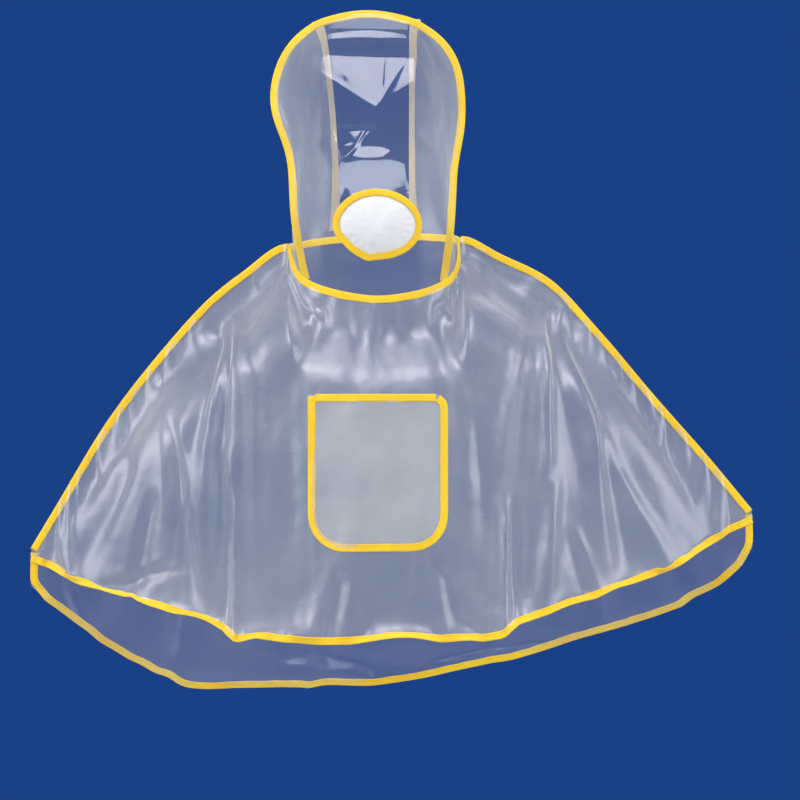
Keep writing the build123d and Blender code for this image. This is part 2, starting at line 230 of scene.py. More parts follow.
def wander(p, size, salt=0):
    """Smooth random heights over points p, from about -1 to 1, with features of that size."""
    use = np.arange(14) + salt % 26
    k = WAVES[0][use] / np.linalg.norm(WAVES[0][use], axis=1)[:, None]
    k = k * (2 * math.pi / size) * (0.6 + 0.8 * np.linspace(0, 1, 14))[:, None]
    return np.sin(p @ k.T + WAVES[1][use]).sum(-1) / 5.0


def normals_of(p):
    n = np.cross(np.gradient(p, axis=0), np.gradient(p, axis=1))
    return n / np.maximum(np.linalg.norm(n, axis=-1, keepdims=True), 1e-9)


def by_line(x, z, x0, z0, x1, z1):
    """Share of the way along a line seen from the front, and distance off it, positive on its right."""
    d = np.array([x1 - x0, z1 - z0])
    length = np.linalg.norm(d)
    d = d / length
    return ((x - x0) * d[0] + (z - z0) * d[1]) / length, (x - x0) * d[1] - (z - z0) * d[0]


def fold(x, z, line, turned):
    """Height of one soft fold along a line (x0, z0, x1, z1, width at each end, height)."""
    w0, w1, h = line[4:]
    s, off = by_line(x, z, *line[:4])
    r = off / (w0 + (w1 - w0) * np.clip(s, 0, 1))
    shape = 1.6 * r * np.exp(-r * r) if turned else (1 - 0.8 * r * r) * np.exp(-r * r)
    return h * shape * smooth(-0.02, 0.22, s) * (1 - smooth(0.72, 1.12, s))


FRONT_FOLDS = [
    (-205, -66, -262, -330, 6, 26, 13), (-208, -68, -335, -350, 6, 30, -8),
    (-200, -66, -212, -505, 6, 20, 13), (-196, -66, -140, -330, 8, 30, -6),
    (-285, -220, -240, -512, 9, 26, 13), (-330, -280, -430, -462, 10, 26, -11),
    (-250, -430, -400, -480, 10, 14, 5), (-215, -250, -180, -420, 8, 22, 6),
    (-300, -330, -330, -500, 8, 20, 7), (240, -56, 305, -330, 6, 28, 13),
    (238, -58, 232, -490, 6, 22, -13), (244, -58, 395, -350, 6, 30, 12),
    (225, -58, 165, -330, 8, 30, 6), (300, -230, 335, -470, 9, 26, -12),
    (390, -250, 480, -410, 9, 22, 6), (250, -280, 212, -505, 8, 20, 7),
    (330, -300, 410, -450, 9, 20, -6), (265, -380, 300, -490, 8, 16, 6),
    (-60, -92, -120, -215, 8, 24, 4), (70, -86, 125, -215, 8, 24, -4),
    (-40, -425, -60, -525, 12, 20, 4), (90, -425, 110, -522, 10, 18, -4),
    (140, -230, 160, -420, 10, 22, 5), (-120, -240, -130, -420, 10, 22, -4)
]
FRONT_TUCKS = [(-189, -330, -192, -560, 5, 11, 13), (184, -330, 185, -550, 5, 11, -13)]
BACK_FOLDS = [
    (-200, -50, -250, -420, 8, 34, 11), (-205, -55, -340, -430, 8, 34, -10),
    (-190, -50, -160, -560, 8, 30, 9), (-120, -10, -90, -330, 8, 34, -6),
    (-260, -300, -280, -620, 10, 26, 11), (-350, -330, -380, -560, 10, 26, -9),
    (-90, -330, -70, -640, 12, 30, 9), (0, -60, 10, -420, 12, 40, 5), (70, -320, 60, -630, 12, 30, -8),
    (120, -10, 110, -330, 8, 34, 6), (235, -50, 200, -520, 8, 32, -10),
    (240, -50, 300, -420, 8, 32, 10), (246, -56, 390, -430, 8, 34, -9),
    (180, -330, 170, -610, 10, 26, 9), (300, -330, 330, -560, 10, 24, 9),
    (400, -300, 440, -500, 10, 22, -7)
]


def folded(p, folds, tucks, salt):
    """A panel grid with its folds, buckles and hem ripples, left as it is along the seams. Every
    second fold is a turned one, with a crest on one side and a trough on the other."""
    x, z = p[..., 0], p[..., 2]
    rows = np.linspace(0, 1, p.shape[1])[None]
    free = smooth(0.0, 0.16, rows)
    lift = sum(fold(x, z, f, i % 2 == 1) for i, f in enumerate(folds))
    lift = lift + sum(fold(x, z, t, True) for t in tucks)
    flat = p * np.array([1, 0, 0.6])
    lift = lift + 3.2 * wander(flat, 190, salt) + 1.2 * wander(flat, 70, salt + 5)
    lift = lift + 3.0 * smooth(0.8, 1.0, rows) * wander(flat * [1, 0, 0.2], 120, salt + 9)
    ends = smooth(0, 0.05, np.linspace(0, 1, p.shape[0]))[:, None]
    return p + normals_of(p) * (lift * free * ends * ends[::-1])[..., None]


def crease(x, z, x0, z0, x1, z1, width, height):
    """A sharp packing crease: straight, with a pointed crest."""
    s, r = by_line(x, z, x0, z0, x1, z1)
    return height * np.exp(-np.sqrt(r * r + 2.0) / width) * smooth(-0.05, 0.3, s) * (1 - smooth(0.7, 1.05, s))


# ---- materials -----------------------------------------------------------------------------
def material(name):
    m = bpy.data.materials.new(name)
    m.use_nodes = True
    m.node_tree.nodes.clear()
    return m, m.node_tree.nodes, m.node_tree.links


def node(nodes, kind, inputs=None, **settings):
    n = nodes.new(kind)
    for key, value in settings.items():
        setattr(n, key, value)
    for key, value in (inputs or {}).items():
        n.inputs[key].default_value = value
    return n


def noise_ramp(nodes, links, source, scale, low, high, detail=3.0):
    """Noise at that many features a metre, spread between two values."""
    n = node(nodes, "ShaderNodeTexNoise", {"Scale": scale, "Detail": detail, "Roughness": 0.55})
    links.new(source, n.inputs["Vector"])
    r = node(nodes, "ShaderNodeMapRange", {"From Min": 0.3, "From Max": 0.7, "To Min": low, "To Max": high})
    links.new(n.outputs["Fac"], r.inputs["Value"])
    return r.outputs["Result"]


def layered(nodes, links, share, under, over):
    """Two shaders mixed: share is how much of the second shows, a number or a socket."""
    mix = node(nodes, "ShaderNodeMixShader")
    if isinstance(share, float):
        mix.inputs["Fac"].default_value = share
    else:
        links.new(share, mix.inputs["Fac"])
    links.new(under, mix.inputs[1])
    links.new(over, mix.inputs[2])
    return mix.outputs[0]


def film_material(name, haze, tint, white, roughness, shine, bumps):
    """See-through film: clear, milky and glossy shares, the milky share varying over the sheet.
    bumps lists (features a metre, strength, depth in metres, detail) from broad to fine."""
    m, nodes, links = material(name)
    place = node(nodes, "ShaderNodeTexCoord").outputs["Object"]
    bump = None
    for scale, strength, distance, detail in bumps:
        height = noise_ramp(nodes, links, place, scale, 0.0, 1.0, detail)
        b = node(nodes, "ShaderNodeBump", {"Strength": strength, "Distance": distance})
        links.new(height, b.inputs["Height"])
        if bump:
            links.new(bump, b.inputs["Normal"])
        bump = b.outputs["Normal"]
    milky = noise_ramp(nodes, links, place, 6.0, haze * 0.6, haze * 1.45, 3.0)
    edge = node(nodes, "ShaderNodeLayerWeight", {"Blend": 0.5})
    links.new(bump, edge.inputs["Normal"])
    slant = node(nodes, "ShaderNodeMath", {1: 3.0}, operation="POWER")
    links.new(edge.outputs["Facing"], slant.inputs[0])
    grazing = node(nodes, "ShaderNodeMath", {1: haze * 1.6}, operation="MULTIPLY_ADD")
    links.new(slant.outputs[0], grazing.inputs[0])
    links.new(milky, grazing.inputs[2])
    through = node(nodes, "ShaderNodeBsdfTransparent", {"Color": (*tint, 1)})
    lit = node(nodes, "ShaderNodeBsdfDiffuse", {"Color": (*white, 1)})
    back = node(nodes, "ShaderNodeBsdfTranslucent", {"Color": (*white, 1)})
    gloss = node(nodes, "ShaderNodeBsdfGlossy", {"Color": (1, 1, 1, 1), "Roughness": roughness})
    for n in (lit, back, gloss):
        links.new(bump, n.inputs["Normal"])
    milk = layered(nodes, links, 0.45, lit.outputs[0], back.outputs[0])
    body = layered(nodes, links, grazing.outputs[0], through.outputs[0], milk)
    fifth = node(nodes, "ShaderNodeMath", {1: 5.0}, operation="POWER")
    links.new(edge.outputs["Facing"], fifth.inputs[0])
    share = node(nodes, "ShaderNodeMath", {1: 0.5, 2: shine}, operation="MULTIPLY_ADD", use_clamp=True)
    links.new(fifth.outputs[0], share.inputs[0])
    full = layered(nodes, links, share.outputs[0], body, gloss.outputs[0])
    links.new(full, node(nodes, "ShaderNodeOutputMaterial").inputs["Surface"])
    return m


def woven_material(name, light, painted_shade, pitch, depth, roughness, sheen):
    """Woven stuff: ribs and threads at that pitch and depth in metres, its colour running from the lit colour
    to a painted shade colour: painted shade in the hollows of the weave and in random patches.
    """
    m, nodes, links = material(name)
    coords = node(nodes, "ShaderNodeTexCoord")
    shader = node(nodes, "ShaderNodeBsdfPrincipled", {"Roughness": roughness, "Sheen Weight": sheen})
    heights = []
    for axis in ("X", "Y"):
        wave = node(nodes, "ShaderNodeTexWave", {"Scale": 0.314 / pitch, "Distortion": 0.6, "Detail": 1.0,
                                                 "Detail Scale": 2.0}, bands_direction=axis)
        links.new(coords.outputs["UV"], wave.inputs["Vector"])
        heights.append(wave.outputs["Fac"])
    weave = node(nodes, "ShaderNodeMath", operation="MULTIPLY")
    links.new(heights[0], weave.inputs[0])
    links.new(heights[1], weave.inputs[1])
    fuzz = noise_ramp(nodes, links, coords.outputs["Object"], 900.0, -0.15, 0.15, 2.0)
    height = node(nodes, "ShaderNodeMath", operation="ADD")
    links.new(weave.outputs[0], height.inputs[0])
    links.new(fuzz, height.inputs[1])
    # Painted shade: the colour darkens to the shade colour in the hollows of the weave and in random patches,
    # and lies nearer the lit colour on the crests of the threads.
    tone = noise_ramp(nodes, links, coords.outputs["Object"], 14.0, 0.0, 0.55, 4.0)
    mixed = node(nodes, "ShaderNodeMath", {1: 0.35}, operation="MULTIPLY_ADD")
    links.new(weave.outputs[0], mixed.inputs[0])
    links.new(tone, mixed.inputs[2])
    colour = node(nodes, "ShaderNodeMix", data_type="RGBA")
    colour.inputs[6].default_value, colour.inputs[7].default_value = (*painted_shade, 1), (*light, 1)
    links.new(mixed.outputs[0], colour.inputs["Factor"])
    bump = node(nodes, "ShaderNodeBump", {"Strength": 0.7, "Distance": depth})
    links.new(height.outputs[0], bump.inputs["Height"])
    links.new(bump.outputs[0], shader.inputs["Normal"])
    links.new(colour.outputs[2], shader.inputs["Base Color"])
    links.new(shader.outputs[0], node(nodes, "ShaderNodeOutputMaterial").inputs["Surface"])
    return m


SOFT_BUMPS = [(16.0, 0.34, 0.005, 2.0), (80.0, 0.12, 0.0012, 3.0), (700.0, 0.04, 0.0002, 1.0)]
POCKET_BUMPS = [(20.0, 0.4, 0.004, 2.0), (110.0, 0.15, 0.001, 3.0), (700.0, 0.04, 0.0002, 1.0)]
FROSTED = film_material("frosted_film", haze=0.155, tint=(0.95, 0.965, 0.965), white=(0.88, 0.90, 0.87),
                        roughness=0.4, shine=0.105, bumps=SOFT_BUMPS)
BACK_FILM = film_material("back_film", haze=0.075, tint=(0.95, 0.965, 0.965), white=(0.86, 0.88, 0.86),
                          roughness=0.4, shine=0.07, bumps=SOFT_BUMPS)
POCKET_FILM = film_material("pocket_film", haze=0.30, tint=(0.955, 0.97, 0.97), white=(0.92, 0.93, 0.91),
                            roughness=0.36, shine=0.10, bumps=POCKET_BUMPS)
CLEAR = film_material("clear_film", haze=0.03, tint=(0.96, 0.975, 0.985), white=(0.9, 0.93, 0.94),
                      roughness=0.075, shine=0.042, bumps=[(9.0, 0.2, 0.006, 1.0), (40.0, 0.06, 0.0015, 2.0)])


def duller_sides(m, inner, outer, low, high):
    """Gloss that grows rough away from the middle of the hood, where the film is handled."""
    nodes, links = m.node_tree.nodes, m.node_tree.links
    part = node(nodes, "ShaderNodeSeparateXYZ")
    links.new(node(nodes, "ShaderNodeTexCoord").outputs["Object"], part.inputs[0])
    far = node(nodes, "ShaderNodeMath", operation="ABSOLUTE")
    links.new(part.outputs["X"], far.inputs[0])
    ramp = node(nodes, "ShaderNodeMapRange", {"From Min": inner * MM, "From Max": outer * MM,
                                              "To Min": low, "To Max": high})
    links.new(far.outputs[0], ramp.inputs["Value"])
    gloss = next(n for n in nodes if n.type == "BSDF_GLOSSY")
    links.new(ramp.outputs[0], gloss.inputs["Roughness"])


duller_sides(CLEAR, inner=50, outer=78, low=0.075, high=0.42)
LAP = film_material("seam_lap", haze=0.56, tint=(0.95, 0.92, 0.86), white=(0.84, 0.69, 0.52), roughness=0.3,
                    shine=0.05, bumps=[(200.0, 0.3, 0.0006, 3.0), (1400.0, 0.3, 0.0002, 2.0)])
# Painted shade: the second colour of the tape and of the thread is their orange in shade, mixed in by
# woven_material.
TAPE_MATERIAL = woven_material("binding_tape", light=(1.0, 0.77, 0.014), painted_shade=(0.90, 0.52, 0.004),
                               pitch=0.0007, depth=0.00018, roughness=0.6, sheen=0.08)
THREAD_MATERIAL = woven_material("sewing_thread", light=(0.98, 0.70, 0.03), painted_shade=(0.72, 0.38, 0.01),
                                 pitch=0.0005, depth=0.0001, roughness=0.5, sheen=0.3)
# Painted shade: the cloth's second colour is the lilac grey of its shading.
CLOTH_MATERIAL = woven_material("patch_cloth", light=(0.88, 0.88, 0.90), painted_shade=(0.74, 0.75, 0.79),
                                pitch=0.0016, depth=0.00022, roughness=0.85, sheen=0.2)


# ---- meshes --------------------------------------------------------------------------------
def mesh_object(name, points, faces, uvs=None):
    """A smooth-shaded mesh from points in millimetres, with a UV in metres for each point."""
    mesh = bpy.data.meshes.new(name)
    mesh.from_pydata((np.asarray(points) * MM).tolist(), [], faces)
    if uvs is not None:
        layer = mesh.uv_layers.new(name="UVMap")
        index = np.zeros(len(mesh.loops), int)
        mesh.loops.foreach_get("vertex_index", index)
        layer.data.foreach_set("uv", np.asarray(uvs, np.float32)[index].ravel())
    mesh.update()
    o = bpy.data.objects.new(name, mesh)
    bpy.context.scene.collection.objects.link(o)
    mesh.shade_smooth()
    return o


def grid_faces(a, b, offset=0, closed=False):
    """Quads over a grid of a by b points; closed joins the last of b to the first."""
    faces = []
    for i in range(a - 1):
        for j in range(b if closed else b - 1):
            k = (j + 1) % b
            faces.append((offset + i * b + j, offset + (i + 1) * b + j,
                          offset + (i + 1) * b + k, offset + i * b + k))
    return faces


def sheet(name, p, material, keep=None):
    """A film from a grid of points. keep chooses which quads stay."""
    a, b = p.shape[:2]
    middles = lengths(p[:, b // 2]), lengths(p[a // 2])
    uv = np.stack(np.meshgrid(*middles, indexing="ij"), -1).reshape(-1, 2) * MM
    faces = grid_faces(a, b)
    if keep is not None:
        faces = [f for f, k in zip(faces, keep.reshape(-1)) if k]
    o = mesh_object(name, p.reshape(-1, 3), faces, uv)
    if keep is not None:
        drop_loose(o.data)
    o.data.materials.append(material)
    return o


def drop_loose(mesh):
    bm = bmesh.new()
    bm.from_mesh(mesh)
    bmesh.ops.delete(bm, geom=[v for v in bm.verts if not v.link_faces], context="VERTS")
    bm.to_mesh(mesh)
    bm.free()


def respaced(path, inward, step):
    """A path and the directions along it, with points about step apart."""
    reach = lengths(path)
    at = np.linspace(0, reach[-1], max(3, int(round(reach[-1] / step)) + 1))
    both = np.hstack([path, inward])
    both = np.stack([np.interp(at, reach, both[:, k]) for k in range(6)], 1)
    return both[:, :3], softened(both[:, 3:], 2)


def path_frames(path, inward):
    """Inward and normal directions along a path, square to its tangent."""
    tangent = unit(np.gradient(path, axis=0))
    inward = unit(inward - (inward * tangent).sum(1)[:, None] * tangent)
    return tangent, inward, np.cross(tangent, inward)


TAPE_WIDTH, TAPE, TAPE_SLACK, TAPE_STEP = 10.0, 0.55, 0.1, 2.2
STITCH_PITCH, STITCH_LENGTH, STITCH_RADIUS, STITCH_INSET = 3.6, 2.5, 0.2, 2.0


def tape(name, path, inward, body, wrapped=0.5, width=TAPE_WIDTH, salt=0, nodes=(), loop=False):
    """Binding tape folded over an edge and sewn down: the tape and its two rows of stitches. Its
    section lists (share of the width, height, kind): 0 flat, 1 puffed, 2 round the fold in millimetres."""
    path, inward = respaced(path, inward, TAPE_STEP)
    tangent, into, normal = path_frames(path, inward)
    slot, n = wrapped / 2 + TAPE_SLACK, len(path)
    full = slot + TAPE
    reach = lengths(path)
    w_end = width - full + 0.35 * wander(path, 26, salt) + 0.12 * np.sin(reach * 2 * math.pi / STITCH_PITCH)
    puff = 0.16 * wander(path, 17, salt + 3)
    nose = [(-full * math.sin(a), full * math.cos(a)) for a in np.radians([25, 60, 90, 120, 155])]
    stitch_at = width - full - STITCH_INSET
    section = ([(1.0, full, 0), (0.86, full, 0), (None, full - 0.16, 0), (0.45, full + 0.12, 1),
                (0.1, full, 0)] + [(c, d, 2) for c, d in nose]
               + [(0.1, -full, 0), (0.45, -full - 0.12, 1), (None, -full + 0.16, 0), (0.86, -full, 0),
                  (1.0, -full, 0), (1.0, -slot, 0), (0.3, -slot, 0), (0.02, 0.0, 0), (0.3, slot, 0),
                  (1.0, slot, 0)])
    rings, vs = [], []
    for share, height, kind in section:
        across = np.full(n, stitch_at) if share is None else share * w_end
        across = np.full(n, share) if kind == 2 else across
        up = height + (puff * np.sign(height) * 0.6 if kind < 2 and height else 0)
        rings.append(path + across[:, None] * into + np.broadcast_to(up, (n,))[:, None] * normal)
        vs.append(across)
    ring_points = np.stack(rings, 1)
    count = len(section)
    past_fold = np.arange(count) > 9
    v = np.stack(vs, 1) + 2 * TAPE_WIDTH * past_fold
    uv = np.stack([np.repeat(reach[:, None], count, 1), v], -1) * MM
    faces = grid_faces(n, count, closed=True)
    if not loop:
        faces += [tuple(range(count)), tuple(range((n - 1) * count, n * count))[::-1]]
    else:
        last = (n - 1) * count
        faces += [(last + j, j, (j + 1) % count, last + (j + 1) % count) for j in range(count)]
    o = mesh_object(name, ring_points.reshape(-1, 3), faces, uv.reshape(-1, 2))
    o.data.materials.append(TAPE_MATERIAL)
    if nodes:
        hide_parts(*nodes)
    thread = stitches(name + "_stitches", path, tangent, into, normal, reach, stitch_at, full - 0.08)
    for piece in (o, thread):
        body(piece)


STITCH_SECTION = [(math.cos(a), math.sin(a)) for a in np.radians([0, 60, 120, 180, 240, 300])]


def stitches(name, path, tangent, into, normal, reach, across, height):
    """Rows of short thread stitches on both faces of a tape."""
    at = np.arange(STITCH_PITCH, reach[-1] - STITCH_PITCH, STITCH_PITCH)

    def sample(a):
        return np.stack([np.interp(at, reach, a[:, k]) for k in range(3)], 1)
    c, t, w, n = sample(path), sample(tangent), sample(into), sample(normal)
    points, faces = [], []
    for side in (1, -1):
        for share, size in ((-0.5, 0.35), (-0.3, 1.0), (0.3, 1.0), (0.5, 0.35)):
            sink = -0.12 if size < 1 else 0.06
            mid = c + share * STITCH_LENGTH * t + across * w + side * (height + sink) * n
            points.append(mid[:, None] + sum(STITCH_RADIUS * size * k * d[:, None] for k, d in (
                (np.array([s[0] for s in STITCH_SECTION])[None, :, None], w),
                (np.array([s[1] for s in STITCH_SECTION])[None, :, None], n))))
    blocks = np.stack([np.stack(points[i:i + 4], 1) for i in (0, 4)], 1)
    for k in range(len(at) * 2):
        base = k * 24
        faces += grid_faces(4, 6, base, closed=True)
        faces += [tuple(range(base, base + 6)), tuple(range(base + 18, base + 24))[::-1]]
    o = mesh_object(name, blocks.reshape(-1, 3), faces)
    o.data.materials.append(THREAD_MATERIAL)
    return o


# ---- draping -------------------------------------------------------------------------------
DRAPE_FRAMES, DRAPE_CAP = 26, 16.0


def draped(p, hold):
    """A panel grid let go as cloth for a moment: a little too big for its outline, it buckles
    and hangs. hold says how firmly each point keeps its place, from 0 to 1."""
    coarse, weight = p[::2, ::2], hold[::2, ::2]
    o = mesh_object("drape", coarse.reshape(-1, 3), grid_faces(*coarse.shape[:2]))
    group = o.vertex_groups.new(name="hold")
    for i, w in enumerate(weight.reshape(-1)):
        group.add([i], float(w), "REPLACE")
    cloth = o.modifiers.new("cloth", "CLOTH")
    c = cloth.settings
    c.quality, c.mass, c.air_damping = 6, 0.15, 2.0
    c.tension_stiffness, c.compression_stiffness, c.shear_stiffness, c.bending_stiffness = 30, 30, 12, 1.2
    c.vertex_group_mass, c.pin_stiffness = "hold", 1.0
    c.shrink_min = -0.028
    cloth.collision_settings.use_collision = False
    scene = bpy.context.scene
    cloth.point_cache.frame_start, cloth.point_cache.frame_end = 1, DRAPE_FRAMES
    for f in range(1, DRAPE_FRAMES + 1):
        scene.frame_set(f)
    shape = o.evaluated_get(bpy.context.evaluated_depsgraph_get()).data
    co = np.zeros(len(shape.vertices) * 3)
    shape.vertices.foreach_get("co", co)
    scene.frame_set(1)
    mesh = o.data
    bpy.data.objects.remove(o)
    bpy.data.meshes.remove(mesh)
    shift = co.reshape(coarse.shape) / MM - coarse
    size = np.linalg.norm(shift, axis=-1, keepdims=True)
    shift *= DRAPE_CAP * np.tanh(size / DRAPE_CAP) / np.maximum(size, 1e-6)
    for axis, count in ((0, p.shape[0]), (1, p.shape[1])):
        at, old = np.arange(count) / 2, np.arange(shift.shape[axis])
        shift = np.apply_along_axis(lambda line: np.interp(at, old, line), axis, shift)
    return p + shift


def panel_hold(columns, rows):
    """Seam and ring fixed, cuffs nearly so, the hem guided and the middle almost free."""
    a, b = np.linspace(0, 1, columns)[:, None], np.linspace(0, 1, rows)[None]
    hold = 0.015 + 0.22 * smooth(0.9, 1.0, b)
    hold = np.maximum(hold, 1 - smooth(0.0, 0.035, b))
    return np.maximum(hold, 0.6 * (1 - smooth(0, 0.03, np.minimum(a, 1 - a))))


# ---- the cape ------------------------------------------------------------------------------
def on_cape(o):
    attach(o, "cape")


front_edges = panel_edges(FRONT_NECK, FRONT_HEM, NECK_FRONT, FRONT_DEPTH, -1)
back_edges = panel_edges(BACK_NECK, BACK_HEM, NECK_BACK, BACK_DEPTH, 1)
COLUMNS, ROWS = 231, 97
front = folded(panel_grid(front_edges, COLUMNS, ROWS), FRONT_FOLDS, FRONT_TUCKS, 1)
back = folded(panel_grid(back_edges, COLUMNS, ROWS), BACK_FOLDS, [], 7)
front, back = (draped(grid, panel_hold(COLUMNS, ROWS)) for grid in (front, back))
front[..., 1] = np.minimum(front[..., 1], -0.5)
back[..., 1] = np.maximum(back[..., 1], 0.5)
for grid, label in ((front, "front_panel"), (back, "back_panel")):
    piece = sheet(label + "_film", grid, FROSTED if label == "front_panel" else BACK_FILM)
    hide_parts(label)
    on_cape(piece)


def down(path):
    return np.tile([0.0, 0.0, -1.0], (len(path), 1))


ring_front = front_edges[0][np.abs(front_edges[0][:, 0]) < NECK_HALF - 1]
ring_back = back_edges[0][np.abs(back_edges[0][:, 0]) < NECK_HALF - 1]
ring = np.concatenate([ring_front, ring_back[::-1]])
seam = front_edges[0] * [1, 0, 1]
outside = {"left": seam[seam[:, 0] < 0.6 - NECK_HALF][::-1], "right": seam[seam[:, 0] > NECK_HALF - 0.6]}
for salt, (side, path) in enumerate(outside.items()):
    tape(f"{side}_shoulder_tape", path, down(path), on_cape, 2.2, salt=salt,
         nodes=[f"{side}_shoulder_binding"])
hem, above = front[:, -1], front[:, -3]
tape("front_hem_tape", hem, above - hem, on_cape, salt=3, nodes=["front_hem_binding"])
cuffs = (back[0, 4:-6], back[-1, 4:-6][::-1])
rim = softened(spaced(np.concatenate([cuffs[0], back[4:-4, -1], cuffs[1]]), 2.0), 4)
middle = np.array([25.0, 60.0, -330.0])
tape("back_hem_tape", rim, middle - rim, on_cape, salt=5, nodes=["back_hem_binding"])
loop = softened(spaced(np.concatenate([ring, ring[:1]]), 2.0), 3)
tape("neck_tape", loop[:-1], down(loop[:-1]), on_cape, 2.0, salt=8, nodes=["neck_binding"], loop=True)


# ---- the pocket ----------------------------------------------------------------------------
def depth_on(pool, x, z, count, ease):
    """y of a cloud of film points at places seen from the front, from the nearest few."""
    y = np.empty(len(x))
    for i, (a, c) in enumerate(zip(x, z)):
        d = (pool[:, 0] - a) ** 2 + (pool[:, 2] - c) ** 2
        k = np.argpartition(d, count)[:count]
        w = 1 / (d[k] + ease)
        y[i] = (pool[k, 1] * w).sum() / w.sum()
    return y


POCKET_MIDDLE, CHEST_HALF, CHEST_TOP, CHEST_LOW = sum(POCKET_X) / 2, 130, -180, -450
POCKET_COLUMNS, POCKET_ROWS = 56, 60
chest = front.reshape(-1, 3)
chest = chest[(np.abs(chest[:, 0] - POCKET_MIDDLE) < CHEST_HALF)
              & (chest[:, 2] < CHEST_TOP) & (chest[:, 2] > CHEST_LOW)]


def pocket_half(z):
    """Left and right limits of the pocket at a height, with its rounded corners."""
    low = np.clip((POCKET_Z[1] + POCKET_ROUND - z) / POCKET_ROUND, 0, 1)
    cut = POCKET_ROUND * (1 - np.sqrt(1 - low ** 2))
    top = np.clip((z - POCKET_Z[0] + POCKET_TOP_ROUND) / POCKET_TOP_ROUND, 0, 1)
    return POCKET_X[0] + cut, POCKET_X[1] - cut - POCKET_TOP_ROUND * (1 - np.sqrt(1 - top ** 2))


def pocket_place(x, z):
    """Points on the pocket film: off the front, gaping a little at its mouth."""
    share = (x - POCKET_X[0]) / (POCKET_X[1] - POCKET_X[0])
    drop = (POCKET_Z[0] - z) / (POCKET_Z[0] - POCKET_Z[1])
    inside = np.clip(np.sin(math.pi * np.clip(share, 0, 1)), 0, 1)
    gape = 4.5 * inside * np.exp(-(drop / 0.25) ** 2)
    quilt = 1.6 * inside * np.sin(math.pi * np.clip(drop, 0, 1)) * (
        1 + np.sin(14.0 * drop + 2.0 * share) * 0.6)
    here = np.stack([x, 0 * x, z], 1)
    quilt = quilt + 1.0 * inside * wander(here, 60, 4)
    return np.stack([x, depth_on(chest, x, z, 6, 2.0) - 1.5 - gape - np.maximum(quilt, 0), z], 1)


turn = np.linspace(0, 1, POCKET_ROWS)
zs = POCKET_Z[0] + (POCKET_Z[1] - POCKET_Z[0]) * np.sin(turn * math.pi / 2) ** 0.9
left, right = pocket_half(zs)
across = np.linspace(0, 1, POCKET_COLUMNS)[:, None]
px, pz = left + across * (right - left), np.broadcast_to(zs, (POCKET_COLUMNS, POCKET_ROWS))
pocket = pocket_place(px.ravel(), pz.ravel()).reshape(POCKET_COLUMNS, POCKET_ROWS, 3)
piece = sheet("pocket_film", pocket, POCKET_FILM)
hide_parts("pocket_panel")
on_cape(piece)
edge = np.concatenate([pocket[0, :-1], pocket[:, -1], pocket[-1, ::-1]])
edge = softened(spaced(edge, 2.0), 3)
heart = pocket.reshape(-1, 3).mean(0)
tape("pocket_edge_tape", edge, heart - edge, on_cape, salt=12, nodes=["pocket_edge_binding"])
mouth = pocket[3:-1, 0] + [0, -0.4, 0]
tape("pocket_mouth_tape", mouth, down(mouth), on_cape, 0.6, salt=14, nodes=["pocket_mouth_binding"])


# ---- the hood ------------------------------------------------------------------------------
HEAD_MIDDLE, SHIELD_MIDDLE, TUCK = np.array([0, 20, 150.0]), np.array([0, -75, 130.0]), 2.5
LAP_START, LAP_WIDTH, LAP_LIFT = -1.5, 18.5, 0.9
SHIELD_COLUMNS, SHIELD_ROWS = 150, 190


def on_hood(o):
    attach(o, "hood")


def bending(o):
    """Bakes a hood film's placement into its mesh. Its lowest rows are already sewn into the neck ring, so
    its shape bends just above it.
    """
    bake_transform(o)


def ring_run(start, end, count):
    """Even points along the neck ring from the point nearest one place to that nearest another."""
    a, b = (int(np.argmin(np.linalg.norm(ring - q, axis=1))) for q in (start, end))
    step = len(ring)
    ahead, behind = (b - a) % step, (a - b) % step
    index = (a + np.arange(ahead + 1)) % step if ahead <= behind else (a - np.arange(behind + 1)) % step
    return resampled(ring[index], count)


def sewn(p, reach=0.16):
    """A hood grid [around, up] with its lowest row moved into the neck ring."""
    run = ring_run(p[0, 0], p[-1, 0], p.shape[0])
    inward = run * [0.992, 0.992, 1] - [0, 0, 4.0]
    rise = np.linspace(0, 1, p.shape[1])
    share = (1 - smooth(0, reach, rise))[None, :, None]
    return p + (inward - p[:, 0])[:, None] * share


def hood_sheet(name, p, material, nodes):
    o = sheet(name, p, material)
    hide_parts(*nodes)
    return o


def softly(p, amount, size, salt, rim=0.06):
    """A hood grid with gentle waves that die out at its edges."""
    a, b = (np.linspace(0, 1, k) for k in p.shape[:2])
    hold = np.minimum(smooth(0, rim, a), smooth(0, rim, 1 - a))[:, None] * \
        np.minimum(smooth(0, rim, b), smooth(0, rim, 1 - b))[None]
    return p + normals_of(p) * (amount * hold * wander(p, size, salt))[..., None]


def tucked(p):
    """A hood grid with its front end drawn in under the shield's tape."""
    share = smooth(0.93, 1, np.linspace(0, 1, p.shape[1]))[None, :, None]
    return p + TUCK * share * unit(HEAD_MIDDLE - p)


ts, ws = np.linspace(0, 1, 110), np.linspace(0, 1, 60)
sides = {}
for label, opening, crown, out, salt in (("left", opening_left, crown_left, -1, 2),
                                         ("right", opening_right, crown_right, 1, 6)):
    grid = side_grid(opening, crown, out, ts, ws).transpose(1, 0, 2)
    grid = tucked(softly(softly(sewn(grid), 2.6, 130, salt), 0.9, 45, salt + 3))
    sides[label] = grid
    bending(hood_sheet(f"hood_{label}_film", grid, FROSTED, [f"hood_{label}_panel"]))
crown = tucked(softly(sewn(crown_grid(np.linspace(0, 1, 40), ts)), 1.0, 70, 9))
bending(hood_sheet("hood_crown_film", crown, CLEAR, ["hood_crown_panel"]))

